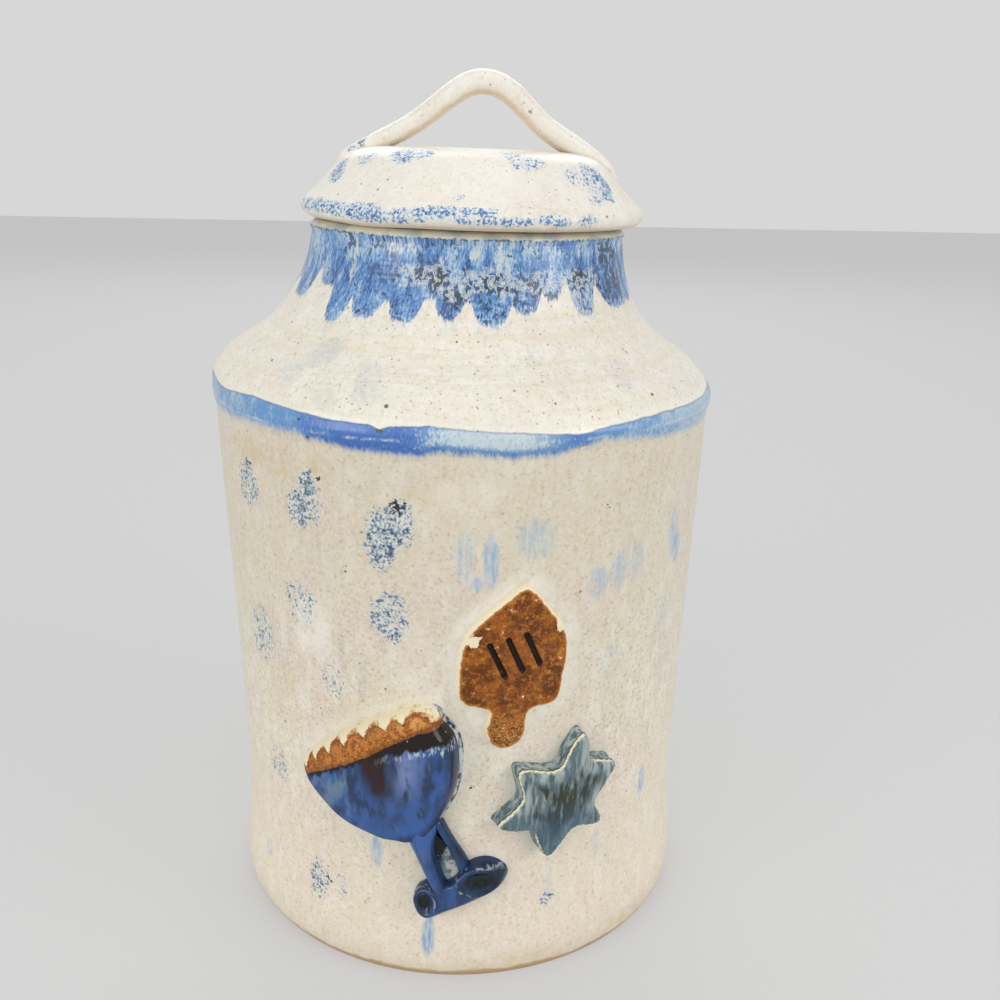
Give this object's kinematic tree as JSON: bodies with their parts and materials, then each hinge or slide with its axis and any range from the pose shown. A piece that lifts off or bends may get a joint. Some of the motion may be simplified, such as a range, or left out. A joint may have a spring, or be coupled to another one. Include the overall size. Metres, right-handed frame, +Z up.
{
  "type": "biscuit jar",
  "caption": "Tall round stoneware jar with a sloping shoulder, a short collar, a lift-off domed lid with an arched strap handle, and flat clay figures pressed on its front.",
  "frame": {"origin": "centre of the jar's flat base, on the surface it stands on", "axes": "+Z up along the jar's axis; -Y is the front, with the clay figures; +X to the right seen from the front"},
  "size_m": [0.1912, 0.1976, 0.3205],
  "materials": {
    "jar_glaze": "satin cream glaze with iron specks and blue sponged patches",
    "band_glaze": "glossy blue glaze with a feathered lower edge",
    "collar_glaze": "glossy mottled blue glaze that runs down in scallops",
    "lid_glaze": "satin cream glaze with blue sponged patches round the edge",
    "bare_clay": "bare tan stoneware",
    "goblet_glaze": "high-gloss cobalt glaze with an iron-brown rim",
    "iron_glaze": "dry speckled iron-brown glaze",
    "star_glaze": "glossy grey-blue glaze with olive streaks"
  },
  "bodies": {
    "jar": {"base_slab": "jar_glaze", "body_wall": "jar_glaze", "shoulder": "jar_glaze", "shoulder_band": "band_glaze", "neck_collar": "collar_glaze", "goblet_backing": "goblet_glaze", "goblet_bowl": "goblet_glaze", "goblet_stem": "goblet_glaze", "goblet_foot": "goblet_glaze", "spinning_top": "iron_glaze", "star_backing": "star_glaze", "star_face": "star_glaze"},
    "lid": {"lid_dome": "lid_glaze", "lid_flange": "bare_clay", "lid_handle": "lid_glaze"}
  },
  "joints": [
    {"name": "lid_lift", "type": "slide", "parent": "jar", "child": "lid", "axis": [0, 0, 1], "range_m": [0, 0.15]}
  ]
}
